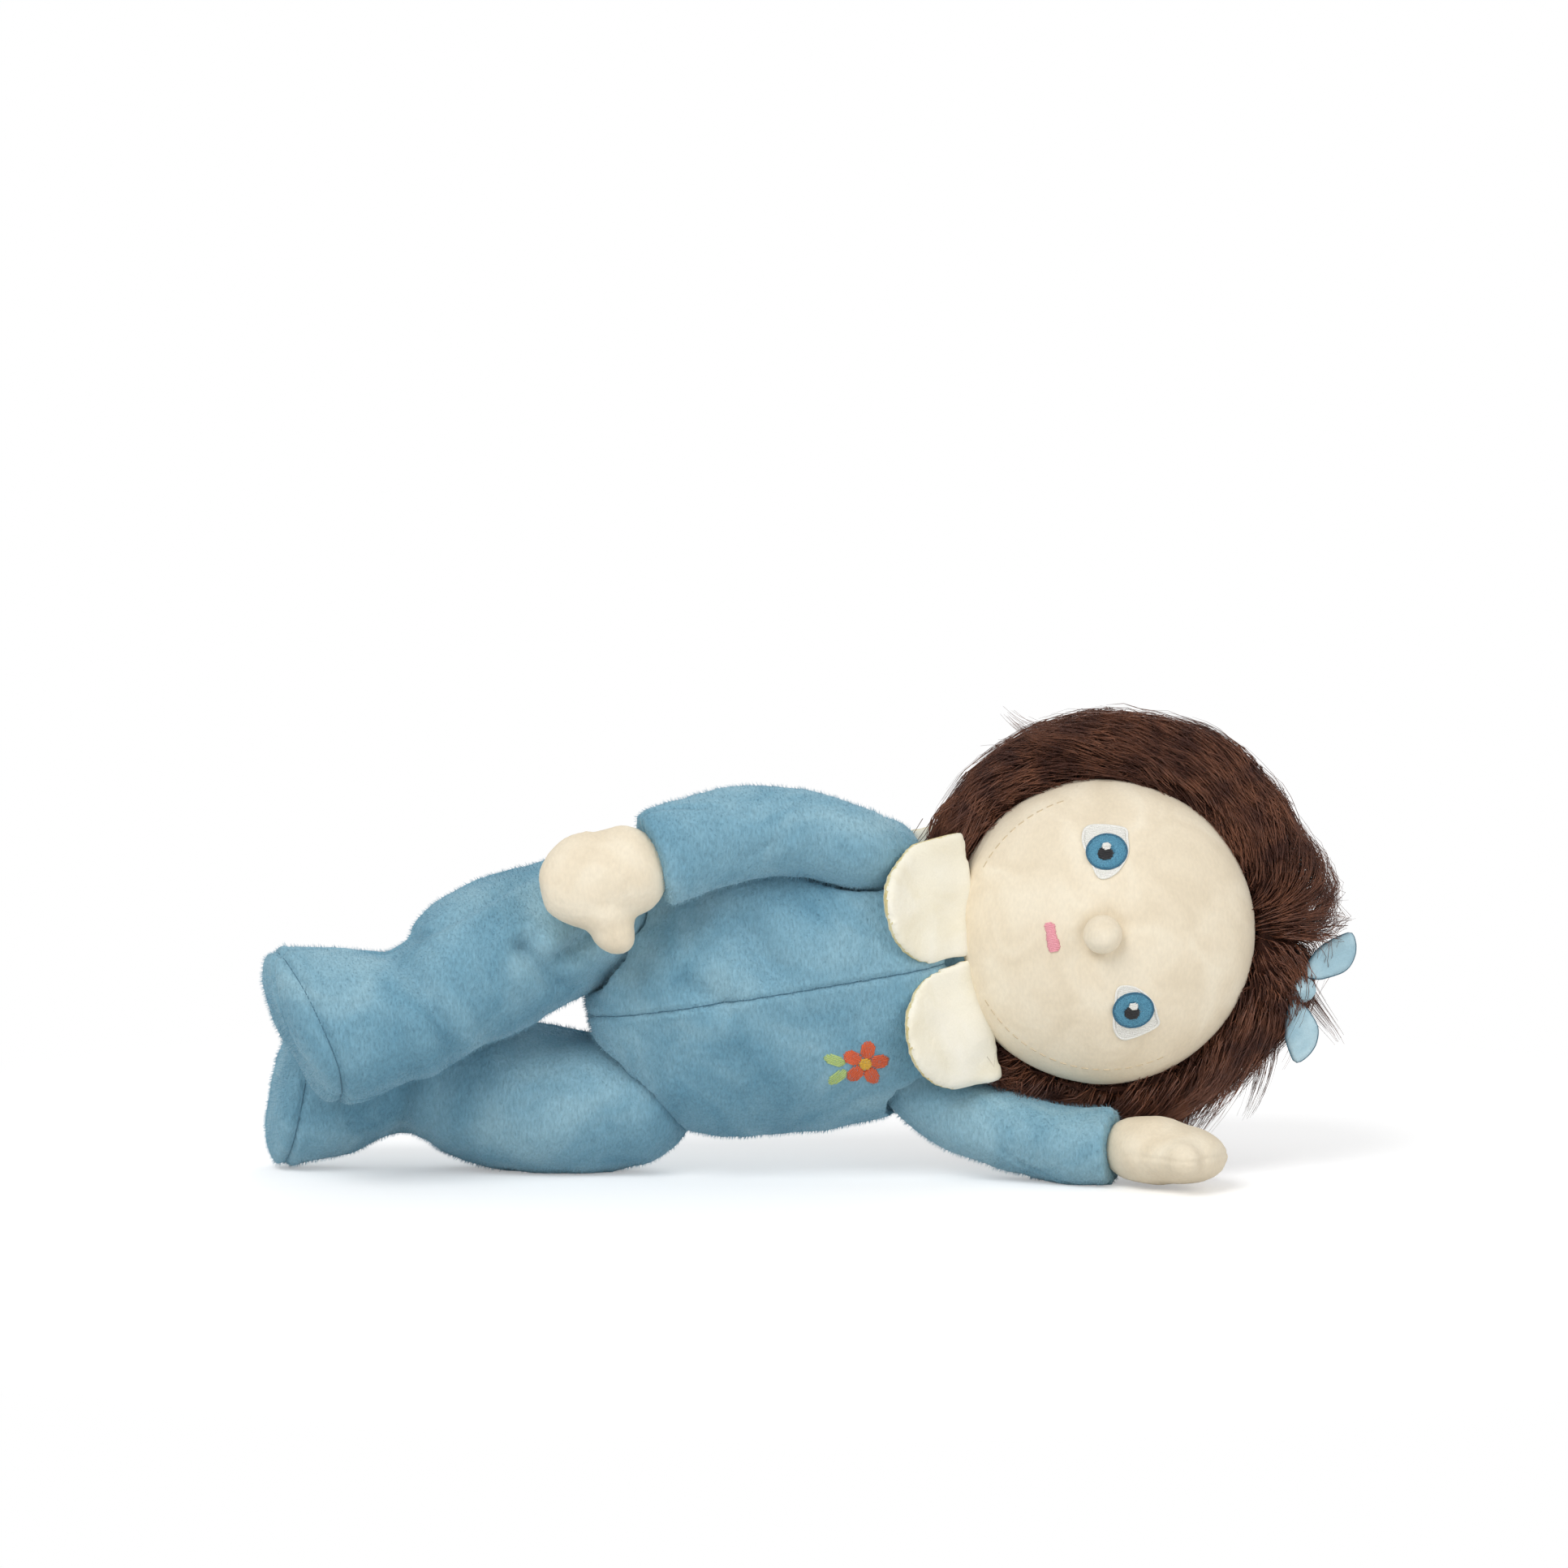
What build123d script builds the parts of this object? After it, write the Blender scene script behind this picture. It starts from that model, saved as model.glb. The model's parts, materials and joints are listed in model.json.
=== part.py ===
from build123d import *
import os
from math import atan2, cos, pi, radians, sin

# Soft cloth doll lying on its left side, in millimetres.
# +X points to the crown of the head, -Y is the way the doll faces, +Z is up.
# The doll's right side is the upper side. The surface it lies on is z = 0.

# ---- driving dimensions -------------------------------------------------
FABRIC = 1.2  # thickness of the plush fabric
FELT = 1.0  # thickness of the felt of the hands
THREAD = 0.35  # height of one layer of embroidery
LAYER_GAP = 0.25  # between the fabric and the filling behind it
SOFT_GAP = 0.3  # between pieces that move on each other

BODY_TILT = 9.0  # the body's axis rises towards the head
BODY_HEIGHT = 48.4  # height of the body's axis above the surface at x = 0
TORSO_SEAT = -51.0  # end of the torso between the legs, along the body's axis
TORSO_TOP = 37.0  # end of the torso at the neck
TORSO_HALF_WIDTH = 37.5
TORSO_HALF_DEPTH = 24.0

NECK_RADIUS = 12.0
NECK_LENGTH = 7.0  # from the torso's end to the head's neck opening
HEAD_RADIUS = 37.3
RIM_SHARE = 0.62  # radius of a cushion's rim as a share of its depth
FACE_DEPTH = 22.0  # from the head's seam to the middle of the face
HEAD_BACK_DEPTH = 27.0
NECK_OPENING = 4.3  # how much of the head's round is cut off at the neck
HEAD_FORWARD = 4.0  # the head's seam stands this far in front of the body's axis
HEAD_LEAN = 0.5  # turn of the head in the plane of the body
FACE_LIFT = 5.5  # the face looks up by this angle

HAIR_RADIUS = 46.0
HAIR_BACK_DEPTH = 38.0
HAIR_SHIFT_UP = 4.9  # towards the crown
HAIR_SHIFT_SIDE = 4.8  # towards the doll's right
HAIR_NECK_MARGIN = 2.0  # the hair starts this far above the neck opening

NOSE_RADIUS = 4.7
EYE_SIDE = 19.3  # from the middle of the face to each eye
EYE_UP = 3.1
IRIS_LENGTH = 10.0  # along the face's width
IRIS_WIDTH = 8.0
PUPIL_LENGTH = 4.2
PUPIL_WIDTH = 3.4
HIGHLIGHT_RADIUS = 0.8
MOUTH_UP = -13.6
MOUTH_LENGTH = 6.6
MOUTH_WIDTH = 2.4

BOW_WING_LENGTH = 14.0
BOW_WING_WIDTH = 9.0
BOW_THICKNESS = 2.4
BOW_KNOT_RADIUS = 3.0
BOW_ANGLE = -33.0  # place of the bow round the hair, from the crown's direction

COLLAR_THICKNESS = 2.2
COLLAR_SPAN = 30.5  # width of one lobe
COLLAR_LENGTH = 17.5
COLLAR_SLOPE = 44.0  # of a lobe from the body's axis
COLLAR_EDGE = 13.4  # distance of a lobe's sewn edge from the body's axis

MOTIF_AT = 14.4  # place of the chest embroidery along the body's axis
MOTIF_SIDE = -20.5
MOTIF_RADIUS = 3.4
PETAL_RADIUS = 1.9
PETALS = 5
LEAF_RADIUS = 1.5

SHOULDER_RADIUS = 9.5
SLEEVE_RADIUS = 11.5  # of the right sleeve's wide end
UNDER_SLEEVE_RADIUS = 9.2  # the left sleeve is pressed flatter
HIP_RADIUS = 15.5
CALF_RADIUS = 18.0
FOOT_DOME = 14.3
SOLE_HALF_LENGTH = 20.0
SOLE_HALF_WIDTH = 13.8
SOLE_BULGE = 4.5
WRIST_DOME = 7.2
HAND_HALF_WIDTH = 11.5
HAND_HALF_DEPTH = 6.6
HAND_LENGTH = 28.0
THUMB_RADIUS = 4.2
THUMB_LENGTH = 15.0
POUCH_RADIUS = 13.0
POUCH_DEPTH = 9.0
POUCH_WALL = 0.8
SHOULDER_SWING = 45  # whole degrees
HIP_SWING = 45
ROOM_STEP = 15  # the room for a swing is cut at every such angle
ROOM_LENGTH = 45.0

# ---- frames ---------------------------------------------------------------
TO_MIDDLE = Vector(-3.28, 2.01, 0)  # brings the middle of the lying doll's length and depth to the origin
UP_BODY = Vector(cos(radians(BODY_TILT)), 0, sin(radians(BODY_TILT)))
RIGHT_BODY = Vector(-sin(radians(BODY_TILT)), 0, cos(radians(BODY_TILT)))
FRONT = Vector(0, -1, 0)
BACK = Vector(0, 1, 0)
DOWN = Vector(0, 0, -1)


def body(along, side, front):
    """A point from the body's axis: towards the head, the doll's right and its front."""
    return Vector(0, 0, BODY_HEIGHT) + UP_BODY * along + RIGHT_BODY * side + FRONT * front


def body_direction(along, side, front):
    return (UP_BODY * along + RIGHT_BODY * side + FRONT * front).normalized()


NECK_PIVOT = body(TORSO_TOP + 2.0, 0, 0)
HEAD_START = TORSO_TOP + NECK_LENGTH  # the head's neck opening along the body's axis
HEAD_CENTRE = body(HEAD_START + HEAD_RADIUS - NECK_OPENING, HEAD_LEAN, HEAD_FORWARD)
HEAD_TILT = BODY_TILT + HEAD_LEAN
FACE_NORMAL = Vector(0, -cos(radians(FACE_LIFT)), sin(radians(FACE_LIFT)))
# Head frame: x to the crown, y to the doll's right, z out of the face.
HEAD = Plane(
    origin=HEAD_CENTRE,
    x_dir=Vector(cos(radians(HEAD_TILT)), 0, sin(radians(HEAD_TILT))),
    z_dir=FACE_NORMAL,
)

# Joint centres of the limbs.
SHOULDER_RIGHT = body(26.0, TORSO_HALF_WIDTH - SHOULDER_RADIUS, 9.0)
SHOULDER_LEFT = body(26.0, -(TORSO_HALF_WIDTH - SHOULDER_RADIUS), 1.0)
HIP_RIGHT = body(-45.0, HIP_RADIUS + 8.5, 3.0)
HIP_LEFT = body(-45.0, -(HIP_RADIUS + 8.5), -3.0)

# ---- lines of the limbs --------------------------------------------------
# The right arm lies along the body's upper side, with the hand in front of the thigh.
RIGHT_ARM = [
    SHOULDER_RIGHT,
    body(9.0, TORSO_HALF_WIDTH - 0.5, 18.5),
    body(-5.0, TORSO_HALF_WIDTH + 2.5, 21.0),
    body(-17.5, TORSO_HALF_WIDTH + 2.0, 24.0),
    body(-28.0, TORSO_HALF_WIDTH, 27.5),
]
RIGHT_ARM_SIZES = [
    (SHOULDER_RADIUS, SHOULDER_RADIUS),
    (10.0, 9.5),
    (10.8, 9.5),
    (SLEEVE_RADIUS, 9.5),
    (SLEEVE_RADIUS, 9.0),
]
# The left arm lies on the surface under the head.
ARM_REST = UNDER_SLEEVE_RADIUS - 0.1
LEFT_ARM = [
    SHOULDER_LEFT,
    Vector(41.0, -4.0, 16.0),
    Vector(56.0, -9.0, 11.0),
    Vector(68.0, -12.5, ARM_REST),
    Vector(78.0, -15.5, ARM_REST),
]
LEFT_ARM_SIZES = [
    (SHOULDER_RADIUS, SHOULDER_RADIUS),
    (UNDER_SLEEVE_RADIUS, UNDER_SLEEVE_RADIUS),
    (UNDER_SLEEVE_RADIUS, 10.0),
    (UNDER_SLEEVE_RADIUS, 10.5),
    (UNDER_SLEEVE_RADIUS, 11.0),
]
# The legs point away from the seat, with the feet drawn to the front.
RIGHT_LEG = [
    HIP_RIGHT,
    Vector(-62.0, -7.0, 60.5),
    Vector(-75.0, -12.5, 54.5),
    Vector(-83.5, -16.0, 49.0),
]
LEFT_LEG = [
    HIP_LEFT,
    Vector(-55.0, 4.5, 17.4),
    Vector(-74.0, 6.0, 18.8),
    Vector(-85.0, 7.0, 21.4),
]
LEG_SIZES = [
    (HIP_RADIUS, HIP_RADIUS),
    (CALF_RADIUS - 0.6, CALF_RADIUS - 1.0),
    (CALF_RADIUS, CALF_RADIUS - 1.0),
    (CALF_RADIUS - 1.8, CALF_RADIUS - 2.0),
]


# ---- helpers --------------------------------------------------------------
def save(shape, name):
    """Writes one sub-part, keeping only its solids, about the doll's middle."""
    solids = shape.solids()
    shown = Pos(*TO_MIDDLE) * (solids[0] if len(solids) == 1 else Compound(children=list(solids)))
    shown.label = name
    export_step(shown, f"parts/{name}.step")


def above(shape, origin, direction):
    """What lies on the far side of a plane, in the plane's direction."""
    return split(shape, bisect_by=Plane(origin=origin, z_dir=direction), keep=Keep.TOP)


def crown_radius(radius, depth):
    """Radius of the flatter arc that runs smoothly into a cushion's rim arc."""
    rim = RIM_SHARE * depth
    return ((radius - rim) ** 2 + depth**2 - rim**2) / (2 * (depth - rim))


def oval(radius, front, back, grow=0.0):
    """A round cushion about local z. Each face is a rim arc that runs into a flatter crown arc."""
    outline = Curve()
    for depth, side in ((front, 1), (back, -1)):
        rim = RIM_SHARE * depth
        crown = crown_radius(radius, depth)
        meet = atan2(crown - depth, radius - rim)

        def at(centre_r, centre_z, size, angle, side=side):
            return (centre_r + (size + grow) * cos(angle), side * (centre_z + (size + grow) * sin(angle)))

        start = (radius + grow, 0)
        corner = at(radius - rim, 0, rim, meet)
        outline += ThreePointArc(start, at(radius - rim, 0, rim, meet / 2), corner)
        outline += ThreePointArc(corner, at(0, depth - crown, crown, (meet + pi / 2) / 2), (0, side * (depth + grow)))
    outline += Line((0, front + grow), (0, -back - grow))
    return revolve(make_face(Plane.XZ * outline), axis=Axis.Z)


def stations(points, sizes, reference):
    """Ellipses square to a limb's line. Sizes are (half width, half depth) at each point."""
    faces = []
    last = len(points) - 1
    for i, (point, (width, depth)) in enumerate(zip(points, sizes)):
        way = (points[min(i + 1, last)] - points[max(i - 1, 0)]).normalized()
        frame = Plane(origin=point, x_dir=reference, z_dir=way)
        faces.append(frame * Ellipse(depth, width))
    return faces


def root_ball(radius):
    """A half ball below the local x-y plane."""
    return Sphere(radius, arc_size1=-90, arc_size2=0, align=(Align.CENTER, Align.CENTER, Align.MAX))


def tube(points, sizes, less=0.0, reference=FRONT):
    """A limb lofted through its stations, with a round root. It is smaller all round by less."""
    inner = [(w - less, d - less) for w, d in sizes]
    line = list(points)
    line[-1] -= (line[-1] - line[-2]).normalized() * less
    way = (line[1] - line[0]).normalized()
    root = Plane(origin=line[0], x_dir=reference, z_dir=way) * root_ball(inner[0][0])
    return loft(stations(line, inner, reference)) + root


def halves(solid, origin, direction):
    """The half on the side of direction, and the other half."""
    return above(solid, origin, direction), above(solid, origin, direction * -1)


def across(points, up):
    """Square to a limb's line and to up, towards the doll's front."""
    way = (points[-1] - points[0]).cross(up).normalized()
    return way if way.Y < 0 else way * -1


def stuffed(name, make, wall, origin, direction):
    """Saves a sewn limb: a front and a back panel and the filling between them."""
    skin = make(0.0) - make(wall)
    front, back = halves(skin, origin, direction)
    save(front, f"{name}_front")
    save(back, f"{name}_back")
    filling = make(wall + LAYER_GAP)
    save(filling, f"{name}_stuffing")


def on_floor(shape):
    """Pressed flat where it lies on the surface."""
    return split(shape, bisect_by=Plane.XY, keep=Keep.TOP)


os.makedirs("parts", exist_ok=True)

# ---- torso ----------------------------------------------------------------
# Each station: place between the seat (-1) and the neck (1), and shares of the width and depth.
TORSO_SHAPE = (
    (-1.0, 0.25, 0.35),
    (-0.9, 0.50, 0.62),
    (-0.75, 0.74, 0.82),
    (-0.43, 0.95, 0.97),
    (0.0, 1.0, 1.0),
    (0.48, 1.0, 0.96),
    (0.76, 0.93, 0.88),
    (0.92, 0.78, 0.74),
    (1.0, 0.60, 0.60),
)


def torso_form(grow):
    faces = []
    for place, width, depth in TORSO_SHAPE:
        reach = TORSO_TOP if place > 0 else -TORSO_SEAT
        at = place * (reach + grow)
        frame = Plane(origin=body(at, 0, 0), x_dir=RIGHT_BODY, z_dir=UP_BODY)
        faces.append(frame * Ellipse(TORSO_HALF_WIDTH * width + grow, TORSO_HALF_DEPTH * depth + grow))
    return loft(faces)


# Each limb in the torso: its line, its radius near the root, the axis it swings about and how far.
LIMB_ROOTS = (
    (RIGHT_ARM, SHOULDER_RADIUS, SLEEVE_RADIUS - 0.7, BACK, SHOULDER_SWING),
    (LEFT_ARM, SHOULDER_RADIUS, SHOULDER_RADIUS + 0.3, DOWN, SHOULDER_SWING),
    (RIGHT_LEG, HIP_RADIUS, CALF_RADIUS - 0.6, BACK, HIP_SWING),
    (LEFT_LEG, HIP_RADIUS, CALF_RADIUS - 0.6, DOWN, HIP_SWING),
)


def with_room(shape, gap):
    """Hollows the torso for each limb's round root and its swing, and for the neck's foot."""
    rooms = [Pos(*NECK_PIVOT) * Sphere(NECK_RADIUS + gap + 0.1)]
    for line, root_radius, limb_radius, axis, swing in LIMB_ROOTS:
        rooms.append(Pos(*line[0]) * Sphere(root_radius + gap))
        for angle in range(0, swing + 1, ROOM_STEP):
            way = (line[1] - line[0]).rotate(Axis((0, 0, 0), axis), angle)
            room = Cylinder(limb_radius + gap, ROOM_LENGTH, align=(Align.CENTER, Align.CENTER, Align.MIN))
            rooms.append(Plane(origin=line[0], z_dir=way) * room)
    return shape - rooms


torso_skin = with_room(torso_form(0) - torso_form(-FABRIC), SOFT_GAP)
torso_front, torso_back = halves(torso_skin, body(0, 0, 0), FRONT)
for part, name in ((torso_front, "torso_front"), (torso_back, "torso_back")):
    right, left = halves(part, body(0, 0, 0), RIGHT_BODY)
    save(right, f"{name}_right")
    save(left, f"{name}_left")

POUCH_CENTRE = body(-24.0, 0, 0)
pouch, pellets, room = (oval(POUCH_RADIUS, POUCH_DEPTH, POUCH_DEPTH, grow) for grow in (0, -POUCH_WALL, LAYER_GAP))
pouch_place = Plane(origin=POUCH_CENTRE, x_dir=RIGHT_BODY, z_dir=UP_BODY)
save(pouch_place * (pouch - pellets), "pellet_pouch")
save(pouch_place * pellets, "pellets")
torso_filling = with_room(torso_form(-FABRIC - LAYER_GAP), SOFT_GAP + FABRIC)
save(torso_filling - pouch_place * room, "torso_stuffing")

# ---- neck -----------------------------------------------------------------
neck_frame = Plane(origin=NECK_PIVOT, x_dir=RIGHT_BODY, z_dir=UP_BODY)
neck_height = HEAD_START - SOFT_GAP - (TORSO_TOP + 2.0)


def neck_form(less):
    """A column with a round foot."""
    radius = NECK_RADIUS - less
    outline = Line((0, neck_height), (radius, neck_height)) + Line((radius, neck_height), (radius, 0))
    outline += ThreePointArc((radius, 0), (radius * sin(pi / 4), -radius * sin(pi / 4)), (0, -radius))
    outline += Line((0, -radius), (0, neck_height))
    return revolve(make_face(Plane.XZ * outline), axis=Axis.Z)


save(neck_frame * (neck_form(0) - neck_form(FABRIC)), "neck_tube")
save(neck_frame * neck_form(FABRIC + LAYER_GAP), "neck_stuffing")

# ---- head -----------------------------------------------------------------
def head_form(grow):
    return HEAD * oval(HEAD_RADIUS, FACE_DEPTH, HEAD_BACK_DEPTH, grow)


def past_neck(shape, margin=0.0):
    return above(shape, body(HEAD_START + margin, 0, 0), UP_BODY)


head_skin = past_neck(head_form(0) - head_form(-FABRIC))
face_panel, head_back = halves(head_skin, HEAD_CENTRE, FACE_NORMAL)
save(face_panel, "face_panel")
save(head_back, "head_back_panel")
save(past_neck(head_form(-FABRIC - LAYER_GAP), LAYER_GAP), "head_stuffing")

hair_outer = HEAD * Pos(HAIR_SHIFT_UP, HAIR_SHIFT_SIDE, 0) * oval(HAIR_RADIUS, HAIR_BACK_DEPTH, HAIR_BACK_DEPTH)
hair = past_neck(hair_outer - head_form(LAYER_GAP), HAIR_NECK_MARGIN)
save(above(hair, HEAD_CENTRE + FACE_NORMAL * 2.0, FACE_NORMAL * -1), "hair_wig")


FACE_CROWN = crown_radius(HEAD_RADIUS, FACE_DEPTH)


def face_ball(grow):
    """The round that the middle of the face is part of."""
    return HEAD * Pos(0, 0, FACE_DEPTH - FACE_CROWN) * Sphere(FACE_CROWN + grow)


def stitched(outline, layer):
    """An embroidered patch on the face: the outline between two layers of thread."""
    column = HEAD * extrude(outline, FACE_DEPTH + 10.0)
    low = layer * THREAD
    return (column & face_ball(low + THREAD)) - face_ball(low)


nose = HEAD * Pos(EYE_UP - 4.6, 0, FACE_DEPTH + NOSE_RADIUS * 0.45) * Sphere(NOSE_RADIUS)
save(nose - face_ball(0), "nose_ball")
for side, name in ((1, "right"), (-1, "left")):
    spot = Pos(EYE_UP, side * EYE_SIDE)
    corners = Spline(
        (-5.4, 2.2), (-2.0, 5.6), (3.2, 4.6), (4.6, 0), (3.2, -4.6), (-2.0, -5.6), (-5.4, -2.2), (-4.6, 0), periodic=True
    )
    save(stitched(spot * make_face(corners), 0), f"eye_white_{name}")
    save(stitched(spot * Ellipse(IRIS_WIDTH / 2, IRIS_LENGTH / 2), 1), f"iris_{name}")
    save(stitched(spot * Ellipse(PUPIL_WIDTH / 2, PUPIL_LENGTH / 2), 2), f"pupil_{name}")
    save(stitched(spot * Pos(0.9, 0.9) * Circle(HIGHLIGHT_RADIUS), 3), f"highlight_{name}")
mouth = Pos(MOUTH_UP, 1.2) * SlotOverall(MOUTH_LENGTH, MOUTH_WIDTH, rotation=90)
save(stitched(mouth, 0), "mouth_stitch")

# ---- bow ------------------------------------------------------------------
bow_reach = HAIR_RADIUS + 0.5 + BOW_KNOT_RADIUS
bow_x = HAIR_SHIFT_UP + bow_reach * cos(radians(BOW_ANGLE))
bow_y = HAIR_SHIFT_SIDE + bow_reach * sin(radians(BOW_ANGLE))
# Bow frame: x out of the hair, y along the wings.
bow_frame = HEAD * Pos(bow_x, bow_y, 0) * Rot(0, 0, BOW_ANGLE)
for side, name in ((1, "right"), (-1, "left")):
    start = side * (BOW_KNOT_RADIUS + LAYER_GAP)
    tip = side * (BOW_KNOT_RADIUS + BOW_WING_LENGTH)
    middle = (start + tip) / 2
    leaf = Spline((0.8, start), (BOW_WING_WIDTH - 1.0, middle + side * 2.0), (5.5, tip))
    leaf += Spline((5.5, tip), (0.4, middle + side * 1.0), (-0.8, start))
    leaf += Line((-0.8, start), (0.8, start))
    save(bow_frame * extrude(make_face(leaf), BOW_THICKNESS / 2, both=True), f"bow_wing_{name}")
save(bow_frame * Sphere(BOW_KNOT_RADIUS), "bow_knot")

# ---- collar ---------------------------------------------------------------
COLLAR_PLACE = TORSO_TOP + SOFT_GAP
for facing, place in ((1, "front"), (-1, "back")):
    for side, name in ((1, "right"), (-1, "left")):
        away = -UP_BODY * cos(radians(COLLAR_SLOPE)) + FRONT * facing * sin(radians(COLLAR_SLOPE))
        lobe_frame = Plane(
            origin=body(COLLAR_PLACE, side * (COLLAR_SPAN / 2 + LAYER_GAP), facing * COLLAR_EDGE),
            x_dir=RIGHT_BODY,
            z_dir=RIGHT_BODY.cross(away),
        )
        lower_half = Pos(0, COLLAR_LENGTH / 2) * Rectangle(COLLAR_SPAN, COLLAR_LENGTH)
        lobe = Ellipse(COLLAR_SPAN / 2, COLLAR_LENGTH) & lower_half
        plate = lobe_frame * extrude(lobe, COLLAR_THICKNESS * facing)
        save(plate - torso_form(SOFT_GAP), f"collar_{place}_{name}")

# ---- chest embroidery ------------------------------------------------------
motif_frame = Plane(origin=body(MOTIF_AT, MOTIF_SIDE, 0), x_dir=UP_BODY, z_dir=FRONT)
chest_thread = torso_form(THREAD) - torso_form(0)
petals = Sketch() + [place * Circle(PETAL_RADIUS) for place in PolarLocations(MOTIF_RADIUS, PETALS)]
leaf = Ellipse(2.6, LEAF_RADIUS)
leaves = Pos(-MOTIF_RADIUS - 4.2, 2.4) * leaf + Pos(-MOTIF_RADIUS - 4.2, -2.4) * leaf
for outline, name in ((petals, "petals"), (Circle(1.3), "centre"), (leaves, "leaves")):
    save(chest_thread & motif_frame * extrude(outline, TORSO_HALF_DEPTH + 10.0), f"motif_{name}")

# ---- arms -----------------------------------------------------------------

def limb(name, points, sizes, up, finish):
    middle = (points[0] + points[-1]) / 2
    stuffed(name, lambda less: finish(tube(points, sizes, less)), FABRIC, middle, across(points, up))


def as_is(shape):
    return shape


limb("sleeve_right", RIGHT_ARM, RIGHT_ARM_SIZES, RIGHT_BODY, as_is)
limb("sleeve_left", LEFT_ARM, LEFT_ARM_SIZES, Vector(0, 0, 1), on_floor)


def wrist(points):
    """The hand's joint centre, past the sleeve's end, and the way the sleeve points."""
    way = (points[-1] - points[-2]).normalized()
    return points[-1] + way * (WRIST_DOME + SOFT_GAP), way


def hand(name, points, bend, thumb_way, width_way, half_depth, finish):
    """A mitten with a thumb: its root is a half ball at the wrist."""
    centre, way = wrist(points)
    reach = (way + bend).normalized()
    line = [centre]
    sizes = [(WRIST_DOME, WRIST_DOME)]
    for share, width, depth in ((0.28, 0.97, 0.95), (0.55, 1.0, 1.0), (0.80, 0.78, 0.85), (1.0, 0.40, 0.50)):
        line.append(centre + reach * (HAND_LENGTH - WRIST_DOME) * share)
        sizes.append((HAND_HALF_WIDTH * width, half_depth * depth))
    depth_way = width_way.cross(reach).normalized()
    thumb_start = centre + reach * 4.0
    thumb = Plane(origin=thumb_start, z_dir=thumb_way) * (
        extrude(Circle(THUMB_RADIUS), THUMB_LENGTH) + Pos(0, 0, THUMB_LENGTH) * Sphere(THUMB_RADIUS)
    )

    def make(less):
        solid = tube(line, sizes, less, reference=depth_way)
        return finish(solid + thumb) if less == 0 else finish(solid)

    stuffed(name, make, FELT, centre, depth_way)


hand(
    "hand_right", RIGHT_ARM, Vector(0.05, 0.15, 0.12), body_direction(-0.05, -1, 0.1),
    RIGHT_BODY, HAND_HALF_DEPTH, as_is,
)
hand(
    "hand_left", LEFT_ARM, Vector(0.05, -0.35, -0.06), Vector(0.35, -0.94, 0).normalized(),
    Vector(0.3, 1, 0).normalized(), HAND_HALF_DEPTH, on_floor,
)

# ---- legs -----------------------------------------------------------------
limb("leg_right", RIGHT_LEG, LEG_SIZES, Vector(0, 0, 1), as_is)
limb("leg_left", LEFT_LEG, LEG_SIZES, Vector(0, 0, 1), on_floor)


def ankle(points):
    """The foot's joint centre, past the leg's end, and the way the leg points."""
    way = (points[-1] - points[-2]).normalized()
    return points[-1] + way * (FOOT_DOME + SOFT_GAP), way


def foot(name, points, sole_centre, toe_way, sole_way, finish):
    """A boot from the ankle's half ball to the sole's rim, with a bulging sole."""
    centre, _ = ankle(points)
    rim = Plane(origin=sole_centre, x_dir=sole_way.cross(toe_way), z_dir=sole_way)
    mid = (centre + sole_centre) / 2

    def make(less):
        way = (mid - centre).normalized()
        first = Plane(origin=centre, x_dir=FRONT, z_dir=way)
        second = Plane(origin=mid, x_dir=FRONT, z_dir=(way + sole_way).normalized())
        last = Plane(origin=sole_centre - sole_way * less, x_dir=rim.x_dir, z_dir=sole_way)
        rings = [
            first * Ellipse(FOOT_DOME - less, FOOT_DOME - less),
            second * Ellipse(SOLE_HALF_WIDTH + 1.2 - less, SOLE_HALF_LENGTH - 1.6 - less),
            last * Ellipse(SOLE_HALF_WIDTH - less, SOLE_HALF_LENGTH - less),
        ]
        return finish(loft(rings) + first * root_ball(FOOT_DOME - less))

    stuffed(name, make, FABRIC, sole_centre, across([sole_centre, sole_centre + sole_way], toe_way))
    cap = [
        Pos(0, 0, height) * Ellipse(SOLE_HALF_WIDTH * share, SOLE_HALF_LENGTH * share)
        for height, share in ((0, 1.0), (SOLE_BULGE * 0.5, 0.93), (SOLE_BULGE * 0.9, 0.72), (SOLE_BULGE, 0.5))
    ]
    save(finish(rim * loft(cap)), name.replace("foot", "sole"))


foot(
    "foot_right", RIGHT_LEG, Vector(-118.0, -23.5, 40.0),
    Vector(-0.38, 0, 0.92).normalized(), Vector(-0.853, -0.375, -0.352).normalized(), as_is,
)
foot(
    "foot_left", LEFT_LEG, Vector(-124.0, 8.0, 20.2),
    Vector(-0.18, 0, -0.98).normalized(), Vector(-0.955, -0.22, 0.175).normalized(), on_floor,
)
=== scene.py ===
import json
from math import atan2, cos, pi, radians, sin
from random import Random

import bmesh
import bpy
import numpy as np
from mathutils import Matrix, Vector, noise
from mathutils.bvhtree import BVHTree


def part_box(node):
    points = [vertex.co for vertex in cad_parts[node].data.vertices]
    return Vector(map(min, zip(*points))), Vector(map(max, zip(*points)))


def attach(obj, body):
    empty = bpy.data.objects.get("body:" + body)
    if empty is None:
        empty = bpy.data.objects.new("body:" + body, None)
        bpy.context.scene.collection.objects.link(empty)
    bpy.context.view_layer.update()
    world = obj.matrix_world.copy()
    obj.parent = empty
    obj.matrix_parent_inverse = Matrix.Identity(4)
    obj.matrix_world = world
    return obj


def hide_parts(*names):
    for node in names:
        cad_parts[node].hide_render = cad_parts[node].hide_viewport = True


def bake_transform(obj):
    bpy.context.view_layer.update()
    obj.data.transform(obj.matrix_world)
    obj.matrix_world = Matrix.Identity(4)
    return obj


MM = 0.001

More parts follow.
